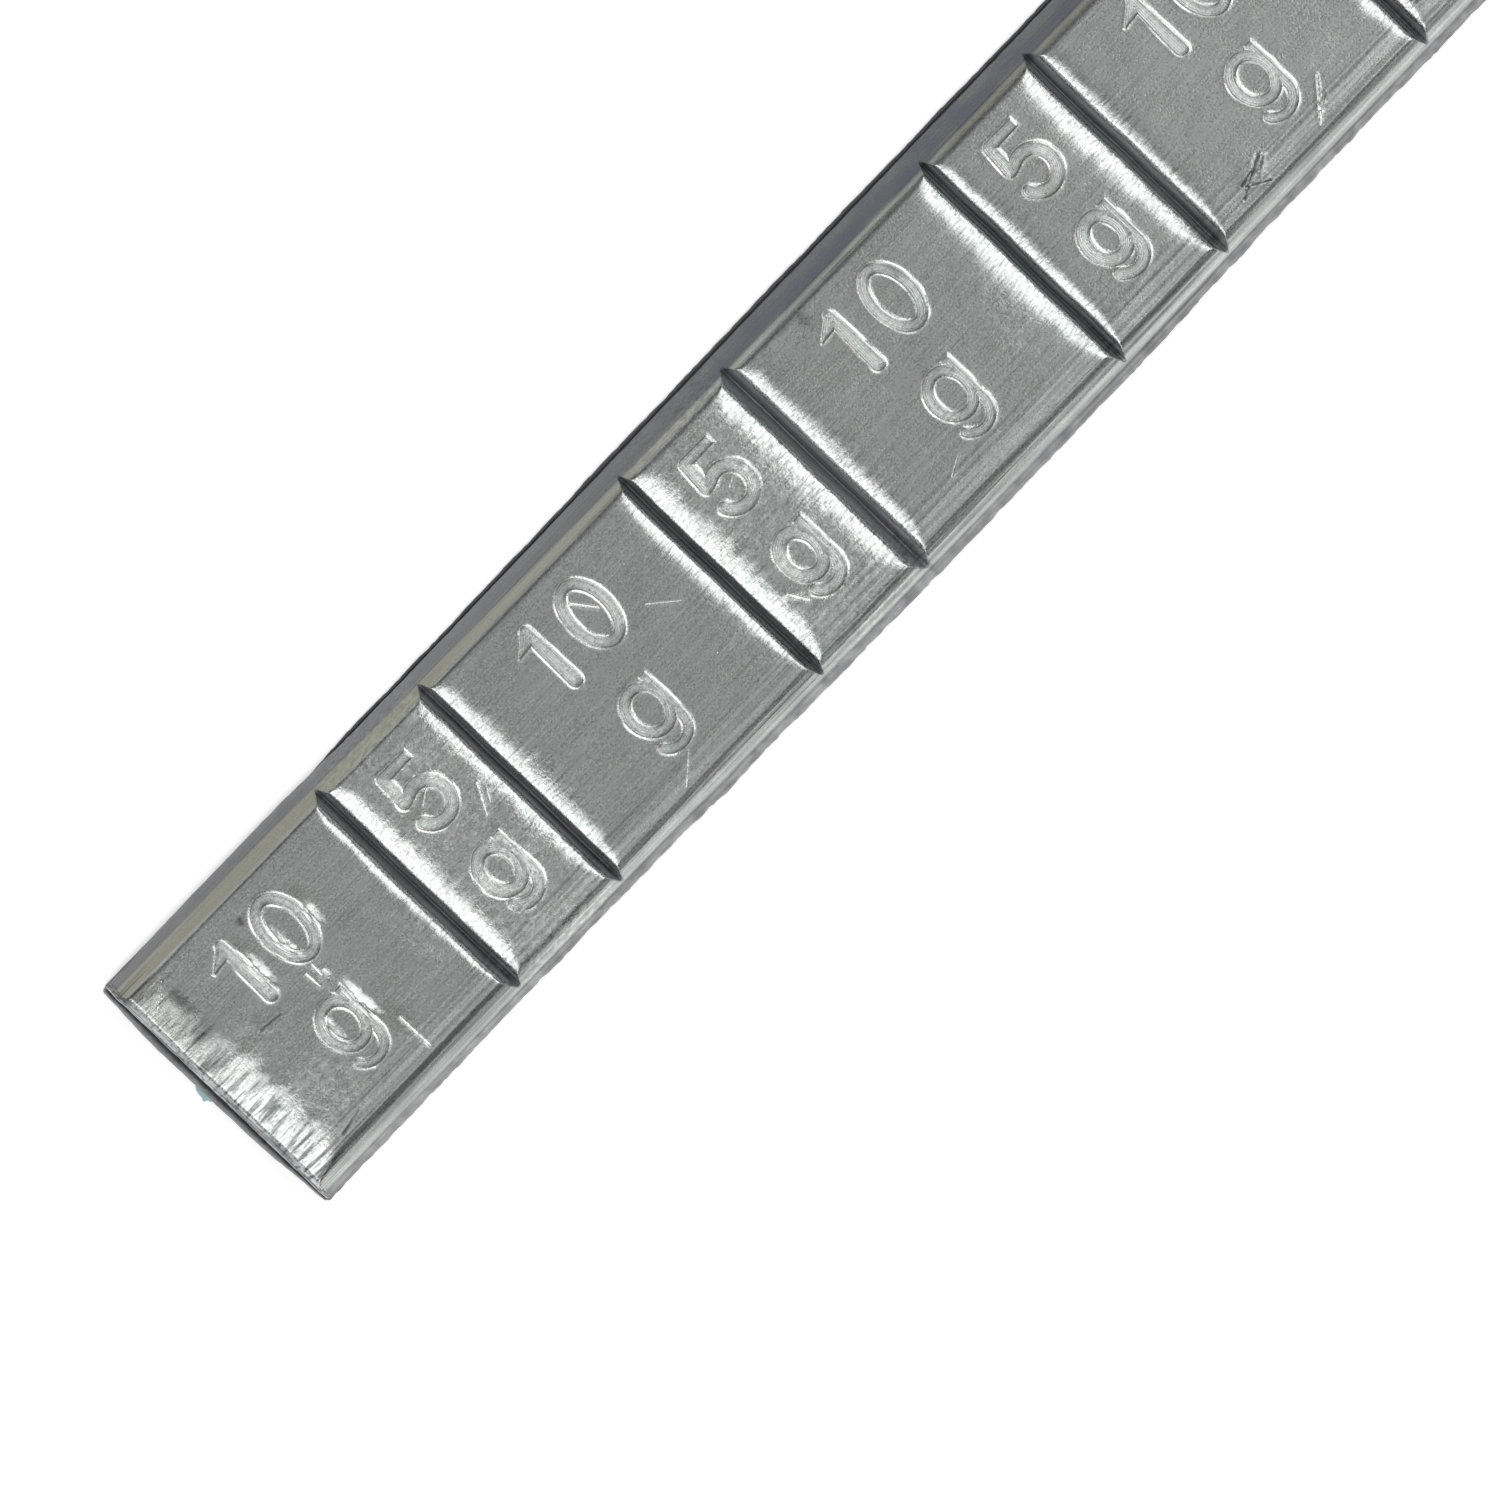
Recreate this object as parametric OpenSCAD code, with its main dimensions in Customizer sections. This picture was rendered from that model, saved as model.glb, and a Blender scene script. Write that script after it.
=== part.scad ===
// Stick-on wheel balance weight: a notched strip of lead weights on foam tape,
// with the release liner still on.
// X runs along the strip from its cut end, Y across it and Z up from the adhesive side.
// The origin is the middle of the liner's underside.

/* [Weights] */
// Number of pairs along the strip, each one heavy and one light weight
pair_count = 4; // [1:1:6]
// Length of a heavy weight, from groove to groove
heavy_pitch = 17.2; // [12:0.1:24]
// Length of a light weight, from groove to groove
light_pitch = 8.8; // [6:0.1:12]
// Distance from the outermost groove's middle to the cut, at each end of the strip
end_trim = 0.2; // [0.1:0.05:0.4]

/* [Lead cross-section] */
// Width of the lead at its foot
foot_w = 18.3; // [14:0.1:24]
// Height of the lead
lead_h = 3.1; // [2.8:0.05:4]
// Height at which the steep lower side turns into the chamfered upper side
ledge_h = 1.7; // [1.2:0.05:2.2]
// How far the lower side leans in by that height
lower_lean = 0.65; // [0.3:0.05:1]
// How far the upper side leans in, from that height to the top
upper_lean = 0.95; // [0.5:0.05:1.5]
// Radius between the lower side and the chamfer
ledge_r = 0.6; // [0.2:0.05:0.8]
// Radius along the two long top edges
edge_r = 0.5; // [0.2:0.05:0.8]

/* [Grooves] */
// Thickness of lead left under a groove, where the strip bends
web_t = 1.45; // [0.8:0.05:1.8]
// Width of a groove at its bottom
groove_floor = 0.14; // [0.08:0.02:0.2]
// Lean of a groove's flanks from upright
flank_angle = 17; // [8:1:24]
// Radius of the rolled shoulder at each side of a groove
shoulder_r = 2; // [0.8:0.1:2.4]
// Turn of the shoulder, from the flat top to where it breaks into the groove
shoulder_angle = 38; // [20:1:45]

/* [Tape and liner] */
// Thickness of the foam tape
tape_t = 0.8; // [0.4:0.1:1.6]
// How far the tape stands out past the lead's foot, on each long side
tape_side = 0.2; // [0:0.05:0.5]
// How far the tape stands out past the lead, at each end
tape_end = 0.3; // [0:0.05:0.5]
// Thickness of the release liner
liner_t = 0.1; // [0.1:0.05:0.3]
// Radius of the scrap of liner at the cut end
scrap_r = 0.85; // [0.6:0.05:2]
// How far the scrap stands out past the tape
scrap_out = 0.45; // [0.2:0.05:0.6]
// Distance of the scrap from the strip's middle line
scrap_y = 0.5; // [-4:0.5:4]

/* [Hidden] */
$fn = 64;
// Straight steps that make up one rounded edge
arc_steps = 6;

// Lengths along the strip
pair_len = heavy_pitch + light_pitch;
weight_count = 2 * pair_count;
strip_len = pair_count * pair_len - 2 * end_trim;
tape_len = strip_len + 2 * tape_end;

// Width of the tape, and height of the lead's underside
tape_w = foot_w + 2 * tape_side;
lead_z = liner_t + tape_t;

// Rolled shoulder, and half the groove's mouth where the shoulder breaks into it
shoulder_drop = shoulder_r * (1 - cos(shoulder_angle));
shoulder_run = shoulder_r * sin(shoulder_angle);
mouth_h = lead_h - shoulder_drop;
half_mouth = groove_floor / 2 + (mouth_h - web_t) * tan(flank_angle);

// Middle of groove i, counted from the cut end
function groove_x(i) =
    (floor(i / 2) - pair_count / 2) * pair_len + (i % 2) * heavy_pitch;

// Points of the arc that rounds the corner at b, between a and c
function rounded(a, b, c, r) =
    let (to_a = (a - b) / norm(a - b))
    let (to_c = (c - b) / norm(c - b))
    let (half = acos(to_a * to_c) / 2)
    let (bisector = (to_a + to_c) / norm(to_a + to_c))
    let (centre = b + bisector * r / sin(half))
    let (spoke = b + to_a * r / tan(half) - centre)
    let (side = sign(spoke.y * bisector.x - spoke.x * bisector.y))
    [for (k = [0 : arc_steps])
        let (turn = side * (180 - 2 * half) * k / arc_steps)
        centre + [spoke.x * cos(turn) - spoke.y * sin(turn),
                  spoke.x * sin(turn) + spoke.y * cos(turn)]];

// Side of the lead from its foot to its top, measured from the middle
function side_points() =
    let (foot = [foot_w / 2, 0])
    let (ledge = foot + [-lower_lean, ledge_h])
    let (crown = ledge + [-upper_lean, lead_h - ledge_h])
    concat([foot],
           rounded(foot, ledge, crown, ledge_r),
           rounded(ledge, crown, [0, lead_h], edge_r));

// Half a groove from its bottom, over the shoulder, to the flat top
function groove_points() =
    concat([[groove_floor / 2, web_t]],
           [for (k = [0 : arc_steps])
               let (slope = shoulder_angle * (1 - k / arc_steps))
               [half_mouth + shoulder_run - shoulder_r * sin(slope),
                lead_h - shoulder_r * (1 - cos(slope))]]);

// The same points on the other side of the middle, in the other order
function mirrored(points) =
    [for (k = [len(points) - 1 : -1 : 0]) [-points[k].x, points[k].y]];

function moved(points, x) = [for (p = points) p + [x, 0]];

// Cross-section of the lead, the same all along
module cross_section() {
    polygon(concat(side_points(), mirrored(side_points())));
}

// Lead from the side, with a groove at each end of every weight
module side_view() {
    top_line = [for (i = [0 : weight_count - 1])
        each concat(moved(groove_points(), groove_x(i)),
                    moved(mirrored(groove_points()), groove_x(i + 1)))];
    polygon(concat([[groove_x(weight_count), 0], [groove_x(0), 0]], top_line));
}

// The lead, one piece: its cross-section along the cut length, notched as its side view is
module weight_strip() {
    color("#868886")
        translate([0, 0, lead_z])
            intersection() {
                rotate([90, 0, 90])
                    linear_extrude(height = strip_len, center = true)
                        cross_section();
                rotate([90, 0, 0])
                    linear_extrude(height = 2 * foot_w, center = true)
                        side_view();
            }
}

// Foam tape under the whole strip
module foam_tape() {
    color("#4a4b4e")
        translate([-tape_len / 2, -tape_w / 2, liner_t])
            cube([tape_len, tape_w, tape_t]);
}

// Release liner, cut with the tape, with a scrap of it standing out at the cut end
module release_liner() {
    color("#b9dfe2")
        linear_extrude(height = liner_t)
            union() {
                square([tape_len, tape_w], center = true);
                translate([-tape_len / 2 - scrap_out + scrap_r, scrap_y])
                    circle(r = scrap_r);
            }
}

weight_strip();
foam_tape();
release_liner();
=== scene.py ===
import math

import bpy
import numpy as np
from bpy.props import FloatProperty, FloatVectorProperty, PointerProperty
from mathutils import Matrix, Vector
from mathutils.geometry import delaunay_2d_cdt


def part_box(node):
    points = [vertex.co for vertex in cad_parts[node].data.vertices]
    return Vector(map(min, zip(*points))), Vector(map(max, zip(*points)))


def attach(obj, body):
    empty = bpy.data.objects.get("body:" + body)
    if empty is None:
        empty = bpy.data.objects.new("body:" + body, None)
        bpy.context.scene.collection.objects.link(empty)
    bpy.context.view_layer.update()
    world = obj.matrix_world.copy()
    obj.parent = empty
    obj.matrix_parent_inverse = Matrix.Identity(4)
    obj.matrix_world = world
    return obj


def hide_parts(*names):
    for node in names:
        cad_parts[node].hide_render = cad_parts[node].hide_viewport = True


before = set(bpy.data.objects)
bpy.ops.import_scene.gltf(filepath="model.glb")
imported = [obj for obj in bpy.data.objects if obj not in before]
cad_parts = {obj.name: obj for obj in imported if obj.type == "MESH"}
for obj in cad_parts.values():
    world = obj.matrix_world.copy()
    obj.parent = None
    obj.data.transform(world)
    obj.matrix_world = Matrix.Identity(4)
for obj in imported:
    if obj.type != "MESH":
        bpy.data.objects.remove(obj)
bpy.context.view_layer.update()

bl_info = {
    "name": "Stick-on Balance Weight",
    "version": (1, 0, 0),
    "blender": (4, 5, 0),
    "location": "View3D > Sidebar > Balance Weight",
    "description": "Dresses a notched lead balance weight, its foam tape and its liner",
    "category": "Add Mesh",
}

# Meshes are worked out in millimetres and stored in metres
MM = 0.001
LEAD_LOW, LEAD_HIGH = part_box("weight_strip")
TAPE_LOW, TAPE_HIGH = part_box("foam_tape")
LINER_LOW, LINER_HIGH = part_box("release_liner")


def linear(hex_colour):
    """Linear RGB of an sRGB hex colour such as #868886."""
    values = [int(hex_colour[k:k + 2], 16) / 255 for k in (1, 3, 5)]
    return tuple(v / 12.92 if v <= 0.04045 else ((v + 0.055) / 1.055) ** 2.4 for v in values)


def length(name, description, millimetres):
    """A size property, stored in metres."""
    return FloatProperty(name=name, description=description, default=millimetres * MM,
                         unit="LENGTH", precision=5)


def colour(name, description, hex_colour):
    """A colour property with an sRGB hex default."""
    return FloatVectorProperty(name=name, description=description, subtype="COLOR", size=3,
                               min=0.0, max=1.0, default=linear(hex_colour))


class StripSizes(bpy.types.PropertyGroup):
    """Sizes of the lead strip."""
    heavy_length: length("Heavy weight", "Length of a heavy weight, groove to groove", 17.2)
    light_length: length("Light weight", "Length of a light weight, groove to groove", 8.8)
    end_trim: length("End trim", "From the outermost groove's middle to the cut", 0.2)
    ledge_height: length("Ledge height", "Height where the side turns into the chamfer", 1.7)
    lower_lean: length("Lower lean", "How far the side leans in up to the ledge", 0.65)
    upper_lean: length("Upper lean", "How far the chamfer leans in up to the top", 0.95)
    worn_ledge: length("Worn ledge", "How much further in one side's ledge wanders", 0.57)
    foot_spread: length("Foot spread", "How far a side bulges at its foot", 0.34)
    web: length("Web", "Lead left under a groove", 1.45)
    groove_floor: length("Groove floor", "Width of a groove's bottom", 0.14)
    burr: length("Burr", "How far a cut end bulges at its foot", 0.11)


class StampSizes(bpy.types.PropertyGroup):
    """Sizes of the pressed weight marks."""
    half_width: length("Half width", "From a stroke's middle to the top of its wall", 0.34)
    light_half_width: length("Light half width", "The same on the light weights", 0.42)
    wall: length("Wall", "Width of a stroke's sloping wall", 0.11)
    depth: length("Depth", "Depth of the pressed strokes", 0.042)
    lip: length("Lip", "Height of the metal raised beside a stroke", 0.045)


class TapeSizes(bpy.types.PropertyGroup):
    """Sizes of the foam tape and the liner."""
    end_creep: length("End creep", "How far the foam stands out at the cut end", 0.4)
    side_creep: length("Side creep", "How far the foam stands out along one side", 0.24)
    hidden: length("Hidden", "How far it draws in there toward the cut end", 0.15)
    tuck: length("Tuck", "How far the foam draws in along the other side", 0.3)
    waver: length("Waver", "Wandering of the foam's cut edge", 0.05)
    film_inset: length("Film inset", "How far the film stays back from the foam's edge", 0.25)


class Finishes(bpy.types.PropertyGroup):
    """Colours of the three materials and the floor."""
    lead_bright: colour("Lead", "Rolled lead, lightly dulled", "#b9bcba")
    lead_dull: colour("Dulled lead", "Lead under its thin grey oxide", "#a4a7a6")
    lead_tint: colour("Tinted lead", "Where the oxide shows faintly green", "#a6b0ae")
    lead_groove: colour("Groove", "Lead down in the grooves", "#8a8c94")
    # Grey oxide, which down the sides is also painted shade
    lead_oxide_and_shade: colour("Side oxide", "Grey oxide along the sides", "#4e4e52")
    lead_blue: colour("Blue oxide", "Bluish patches of the oxide", "#4a505e")
    lead_olive: colour("Stained lead", "Faint olive stain on one chamfer", "#7e7e73")
    lead_pale: colour("Pressed lead", "Matt floor of the pressed marks", "#ccd1cf")
    lead_fresh: colour("Fresh lead", "Lead rubbed bright at lips and scratches", "#dcdedb")
    foam: colour("Foam", "Closed-cell foam tape", "#4a4b4f")
    foam_dust: colour("Foam edge", "Foam rubbed grey along its cut", "#8c8d8f")
    film: colour("Film", "Release film", "#c2e3e7")
    floor: colour("Floor", "Studio floor", "#f4f4f3")


def quantity(name, description, default):
    """A plain number, such as a lamp's radiance."""
    return FloatProperty(name=name, description=description, default=default)


class StudioSettings(bpy.types.PropertyGroup):
    """Camera and lamps."""
    aim: FloatVectorProperty(name="Aim", description="Point in the middle of the picture",
                             size=3, subtype="TRANSLATION", unit="LENGTH", precision=5,
                             default=(-15.07 * MM, -8.51 * MM, 4.0 * MM))
    picture_width: length("Picture width", "Width of what the camera sees at its aim", 89.19)
    turn: FloatProperty(name="Turn", description="The strip's turn in the picture",
                        subtype="ANGLE", default=math.radians(46.2))
    tilt: FloatProperty(name="Tilt", description="Lean of the camera from upright",
                        subtype="ANGLE", default=math.radians(3.4))
    lens: quantity("Lens", "Focal length in millimetres", 257.0)
    left_box: quantity("Left box", "Radiance of the box at the cut end", 2.55)
    right_box: quantity("Right box", "Radiance of the box at the far end", 2.5)
    zenith: quantity("Zenith", "Radiance overhead", 0.37)
    glow: quantity("Glow", "Radiance added overhead on the near side", 0.43)
    middle: quantity("Middle", "Radiance half way up", 0.19)
    horizon: quantity("Horizon", "Radiance at the horizon", 0.9)
    lift: quantity("Floor lift", "Light added to the floor as it is seen", 0.3)


class BalanceWeightSettings(bpy.types.PropertyGroup):
    """Everything that can be set."""
    strip: PointerProperty(type=StripSizes)
    stamp: PointerProperty(type=StampSizes)
    tape: PointerProperty(type=TapeSizes)
    finish: PointerProperty(type=Finishes)
    studio: PointerProperty(type=StudioSettings)


# Numbers

def soft_min(a, b, blend):
    """The smaller of a and b, rounded over where they are closer than blend."""
    share = np.clip(0.5 + 0.5 * (b - a) / blend, 0, 1)
    return b * (1 - share) + a * share - blend * share * (1 - share)


def smooth_step(low, high, value):
    t = np.clip((value - low) / (high - low), 0, 1)
    return t * t * (3 - 2 * t)


def smooth_noise(x, y, seed):
    """Seeded noise from -1 to 1, one bump for each unit of x and y."""
    table = np.random.default_rng(seed).uniform(-1, 1, (256, 256))
    x, y = np.broadcast_arrays(np.asarray(x, float), np.asarray(y, float))
    column, row = np.floor(x).astype(int), np.floor(y).astype(int)
    u, v = smooth_step(0, 1, x - column), smooth_step(0, 1, y - row)
    corner = [[table[(column + i) % 256, (row + j) % 256] for j in (0, 1)] for i in (0, 1)]
    low = corner[0][0] * (1 - u) + corner[1][0] * u
    high = corner[0][1] * (1 - u) + corner[1][1] * u
    return low * (1 - v) + high * v


def spread(low, high, spacing):
    return np.linspace(low, high, max(1, round((high - low) / spacing)) + 1)


# Pressed marks, drawn as strokes round a middle line, in millimetres

# How far a square end stands past the end of its stroke's middle line
SQUARE_END = 0.12
# How far round its middle line a stroke is looked for, and the distance given past that
STROKE_REACH = 1.2
FAR = 9.0


def ring(centre, radius_x, radius_y, start=0.0, end=360.0, steps=64):
    turn = np.radians(np.linspace(start, end, steps + 1))
    return np.stack([centre[0] + radius_x * np.cos(turn),
                     centre[1] + radius_y * np.sin(turn)], 1)


def stroke(points, start=1.0, end=1.0, square=(False, False)):
    """Middle line of a stroke, its width share at both ends, and which ends are cut square."""
    return {"line": np.array(points, float), "share": (start, end), "square": square}


def figure_one(x, y):
    return [stroke([(x, y + 2.08), (x, y - 2.04)], 1.05, 1.35),
            stroke([(x - 0.12, y + 1.72), (x - 1.43, y + 1.19)], 1.45, 0.2)]


def figure_zero(x, y):
    return [stroke(ring((x, y), 1.26, 2.15))]


def figure_five(x, y):
    bar = y + 2.2
    bowl = ring((x, y - 0.74), 1.29, 1.35, 118, -155, 44)
    return [stroke([(x + 1.05, bar), (x - 0.99, bar)], 0.8, 0.9, (True, False)),
            stroke([(x - 0.99, bar), (x - 1.1, y + 0.3)], 0.9, 1.0),
            stroke(np.concatenate([[(x - 1.1, y + 0.3)], bowl]))]


def letter_g(x, y, bowl_x, bowl_y, stem, hook_y):
    """The letter round its bowl's middle: the bowl's reaches, the stem's place and the middle
    of the hook below it."""
    hook = ring((x + stem - 1.22, y + hook_y), 1.22, 1.2, 0, -150, 28)
    return [stroke(ring((x, y), bowl_x, bowl_y)),
            stroke([(x + stem, y + bowl_y + 0.14), (x + stem, y + hook_y)], 0.9, 0.92,
                   (True, False)),
            stroke(hook, 0.92, 0.88)]


# Where each weight's marks were pressed, off the weight's middle
MARK_SHIFTS = ((0.0, 0.06), (0.0, -0.02), (0.0, -0.04), (-0.08, 0.02),
               (0.0, 0.0), (-0.02, 0.02), (-0.02, 0.0), (0.03, -0.03))


def weight_marks(middle, shift, heavy):
    """Strokes of one weight: 10 or 5, with the unit below."""
    x, y = middle + shift[0], shift[1]
    if heavy:
        number = figure_one(x - 1.84, y + 3.97) + figure_zero(x + 1.6, y + 4.04)
        return number + letter_g(x - 0.14, y - 2.42, 1.23, 1.5, 1.24, -1.65)
    return figure_five(x - 0.06, y + 3.84) + letter_g(x - 0.06, y - 2.64, 1.17, 1.46, 1.33, -1.48)


def distance_to_stroke(one, points, half_width):
    """Distance of each point to a stroke's edge, below zero inside the stroke."""
    line = one["line"]
    start, end = one["share"]
    widths = half_width * np.linspace(start, end, len(line))
    nearest = np.full(len(points), 1e9)
    for a, b, wide, next_wide in zip(line[:-1], line[1:], widths[:-1], widths[1:]):
        share = np.clip(((points - a) @ (b - a)) / ((b - a) @ (b - a)), 0, 1)
        off = points - a - share[:, None] * (b - a)
        nearest = np.minimum(nearest, np.hypot(*off.T) - (wide + (next_wide - wide) * share))
    for is_cut, tip, inner in ((one["square"][0], line[0], line[1]),
                               (one["square"][1], line[-1], line[-2])):
        if is_cut:
            outward = (tip - inner) / np.hypot(*(tip - inner))
            nearest = np.maximum(nearest, (points - tip) @ outward - SQUARE_END)
    return nearest


def distance_to_marks(strokes, points, half_width):
    """Distance of each point to the nearest of a weight's strokes."""
    nearest = np.full(len(points), FAR)
    for one in strokes:
        low, high = one["line"].min(0) - STROKE_REACH, one["line"].max(0) + STROKE_REACH
        near = ((points > low) & (points < high)).all(1)
        nearest[near] = np.minimum(nearest[near],
                                   distance_to_stroke(one, points[near], half_width))
    return nearest


def stroke_rows(strokes, half_width, levels, spacing):
    """Points on rows that follow the strokes' edges, one row at each level."""
    found, wanted = [], []
    for one in strokes:
        line = one["line"]
        place = np.concatenate([[0], np.cumsum(np.hypot(*np.diff(line, axis=0).T))])
        at = spread(0, place[-1], spacing)
        middle = np.stack([np.interp(at, place, line[:, k]) for k in (0, 1)], 1)
        ahead = np.gradient(middle, axis=0)
        ahead /= np.hypot(*ahead.T)[:, None]
        across = np.stack([-ahead[:, 1], ahead[:, 0]], 1)
        wide = half_width * np.interp(at, (0, place[-1]), one["share"])
        for level in levels:
            rows = [middle + side * across * (wide + level)[:, None] for side in (-1, 1)]
            for tip, facing in ((0, -ahead[0]), (-1, ahead[-1])):
                reach = wide[tip] + level
                beside = np.array([-facing[1], facing[0]])
                if one["square"][tip]:
                    ahead_steps = spread(0, SQUARE_END + level, spacing / 2)[:, None]
                    rows += [middle[tip] + ahead_steps * facing + side * reach * beside
                             for side in (-1, 1)]
                    rows.append(middle[tip] + (SQUARE_END + level) * facing
                                + spread(-reach, reach, spacing / 2)[:, None] * beside)
                else:
                    turns = spread(-1.5, 1.5, spacing / max(reach, 0.05))[:, None]
                    rows.append(middle[tip] + reach * (np.cos(turns) * facing
                                                       + np.sin(turns) * beside))
            found += rows
            wanted.append(np.full(sum(len(row) for row in rows), level))
        found.append(middle)
        wanted.append(-wide)
    points = np.concatenate(found)
    true = distance_to_marks(strokes, points, half_width)
    return points[np.abs(true - np.concatenate(wanted)) < 0.03]


# Marks of wear

# Scratches: two ends, half width and depth
SCRATCHES = (
    ((-40.95, -4.5), (-40.9, -7), 0.04, 0.03), ((-41.5, -5.7), (-40.3, -5.75), 0.03, 0.015),
    ((-27.7, 1.85), (-28.7, 0.05), 0.035, 0.025), ((-27.5, 1.2), (-27.95, 0.5), 0.03, 0.02),
    ((-13.1, 1.95), (-11.5, 0.6), 0.03, 0.02), ((-19.3, -7.3), (-17.6, -5.9), 0.03, 0.018),
    ((-12.2, -3.1), (-10.4, -3.05), 0.03, 0.02), ((-6.9, -3.7), (-6.2, -4.9), 0.045, 0.03),
    ((5, -5.9), (6.1, -5.3), 0.035, 0.018), ((-49.9, 6.6), (-48.3, 7.4), 0.03, 0.025),
    ((-16.25, 5.25), (-15.2, 3.85), 0.05, 0.035), ((-50.9, 6), (-49.2, 7.2), 0.025, 0.018),
    ((-42, 0.75), (-42, 0.25), 0.05, 0.04), ((-42.95, 1.3), (-42.9, 0.2), 0.04, 0.02),
    ((-42.3, 1.45), (-42.35, 0.6), 0.04, 0.02), ((35.3, -7.2), (37.2, -5), 0.055, 0.04),
    ((35.9, -6.6), (36.9, -6.1), 0.035, 0.025), ((-30.9, 3.2), (-29.9, 3.9), 0.035, 0.018),
    ((-4.6, 3.2), (-3.6, 3.7), 0.035, 0.018),
)
# Gouges that have dulled again, given in the same way
GOUGES = (
    ((31.4, -5.7), (28.9, -7.05), 0.1, 0.04), ((30.3, -6.2), (29.3, -6.35), 0.07, 0.03),
    ((29.5, -6.6), (30.9, -7.45), 0.07, 0.03), ((31.5, -6), (30.4, -6.8), 0.06, 0.03),
    ((-47.2, 0.95), (-45.6, 0.75), 0.08, 0.02), ((-48.3, -6.9), (-46.6, -6.55), 0.06, 0.02),
)
# Dulled smears: middle, reach along and across, and strength
SMEARS = (
    (0.3, 0, 0.22, 14, 0.8), (-49.2, 5.5, 0.4, 1.3, 0.9), (-49.7, 3.3, 0.9, 0.6, 0.8),
    (-50.2, 1.2, 1, 0.16, 0.8), (-49.6, -1.2, 1.2, 0.14, 0.7), (-50.3, -2.9, 0.9, 0.12, 0.6),
    (-49.5, -4.6, 1.1, 0.13, 0.6), (-43.4, 6.3, 0.22, 0.3, 1), (-30.4, 3.9, 0.8, 0.5, 0.3),
    (5.6, 6.9, 0.4, 0.6, 0.5), (11.4, 5, 0.5, 0.9, 0.5), (30.1, -6.5, 0.8, 0.35, 0.3),
    (-33.2, -1, 0.3, 2.4, 0.3), (-15.2, -3, 3, 0.12, 0.35), (-51.65, 0, 0.35, 14, 0.6),
    (-49.6, 7.2, 1.6, 0.14, 0.6), (-50, 4.4, 1.3, 0.1, 0.6), (-50.1, 2.2, 1.2, 0.1, 0.6),
    (-50, 0.2, 1.4, 0.1, 0.6), (-50, -3.8, 1.2, 0.1, 0.5), (-50.2, -5.5, 1.1, 0.09, 0.5),
)
# Faint olive stains, given in the same way
STAINS = (
    (-50.4, 5.6, 1.5, 3, 0.4), (-51, 2.6, 0.7, 2, 0.3), (-44.5, 5, 0.45, 1.1, 0.35),
    (-39.8, 4.8, 0.45, 1, 0.35), (-41, -4.4, 0.7, 1.2, 0.25),
)
# Where the metal was pulled down beside a stroke: middle, reach along and across, and depth
PULLS = (
    (-44.55, 3.5, 0.45, 1.4, 0.14), (-39.95, 3.4, 0.45, 1.1, 0.14),
    (-42.5, 3.4, 0.35, 1.4, 0.09), (-41.5, -2, 0.8, 1.8, 0.2), (-44.15, -2.2, 0.35, 1, 0.08),
    (-13.5, 4, 0.35, 1.4, 0.05), (-28, -1.5, 0.35, 1.4, 0.05), (-1.9, -1.8, 0.35, 1.4, 0.05),
)
# How far from a stroke a pull reaches, the width of a stroke's raised lip and of a scratch's,
# and a length that no scratch comes to
PULL_REACH = 0.7
STROKE_LIP, SCRATCH_LIP = 0.1, 0.05
PAST_SCRATCHES = 4
# Bruised skin, mottled by small dents, given as the smears are
BRUISES = (
    (-42.2, 0.7, 0.7, 1.4, 1), (-48, 0.6, 2.2, 2.2, 0.6), (-47.4, -4.2, 3.4, 2.8, 1),
    (-36.6, -2, 1, 3, 0.7), (-30.8, 0.6, 1.8, 0.9, 1), (-24.6, -1.2, 1.3, 4, 0.6),
    (-10.8, -3, 1.2, 3.4, 0.5), (1.4, -1.6, 1.4, 4, 0.5), (13.8, -2.6, 1.6, 3.6, 0.6),
    (30.6, -6.2, 1.2, 0.9, 1),
)


# Grooves of the strip

# Each groove as it was pressed: its shift along the strip, then for its left and its right side
# half its mouth, the shoulder's reach and drop, and how late along it the shoulder steepens.
# The cuts run through the first and the last.
GROOVES = (
    (0.0, (0.40, 2.0, 0.31, 3.2), (0.55, 2.75, 0.55, 1.1)),
    (0.08, (0.48, 1.42, 0.31, 3.2), (0.28, 2.14, 0.51, 2.4)),
    (0.05, (0.42, 1.97, 0.30, 2.6), (0.20, 2.78, 0.39, 3.2)),
    (0.0, (0.27, 2.2, 0.32, 3.2), (0.21, 2.46, 0.52, 2.1)),
    (0.12, (0.60, 2.7, 0.42, 2.6), (0.51, 2.43, 0.37, 3.0)),
    (-0.07, (0.29, 2.9, 0.45, 3.2), (0.30, 2.05, 0.36, 3.2)),
    (0.05, (0.35, 2.6, 0.46, 2.9), (0.48, 1.9, 0.29, 3.0)),
    (0.02, (0.32, 2.1, 0.34, 3.2), (0.34, 2.4, 0.38, 3.2)),
    (0.0, (0.32, 2.4, 0.38, 3.2), (0.30, 2.0, 0.31, 3.2)),
)
# Width over which a shoulder rolls over into its groove, and a distance past every shoulder
LIP_ROLL = 0.26
PAST_SHOULDERS = 6
# The +Y and the -Y side: how round the top edge is, how much the top falls toward it from
# CROWN_REACH in, and over how much the chamfer passes into the side
EDGE_ROUND = (0.42, 1.12)
EDGE_CROWN = (0.004, 0.032)
CROWN_REACH = 4.2
LEDGE_BLEND = (0.2, 0.08)
# Rounding of the ledge itself, and the depth and half width of the line rolled in beside it
LEDGE_ROUND = 0.16
LEDGE_LINE = (0.05, 0.07)
# How far out the -Y edge turns down along the strip: places, and how much past its usual line
NEAR_EDGE_X = (-52, -36, -32, -24, -11, -5, 2, 18, 30)
NEAR_EDGE_OUT = (0.0, 0.02, 0.16, 0.08, 0.10, 0.27, 0.16, 0.15, 0.13)
# How worn the top of each light weight is
LIGHT_WEAR = (1.0, 0.9, 0.2, 0.5)
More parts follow.
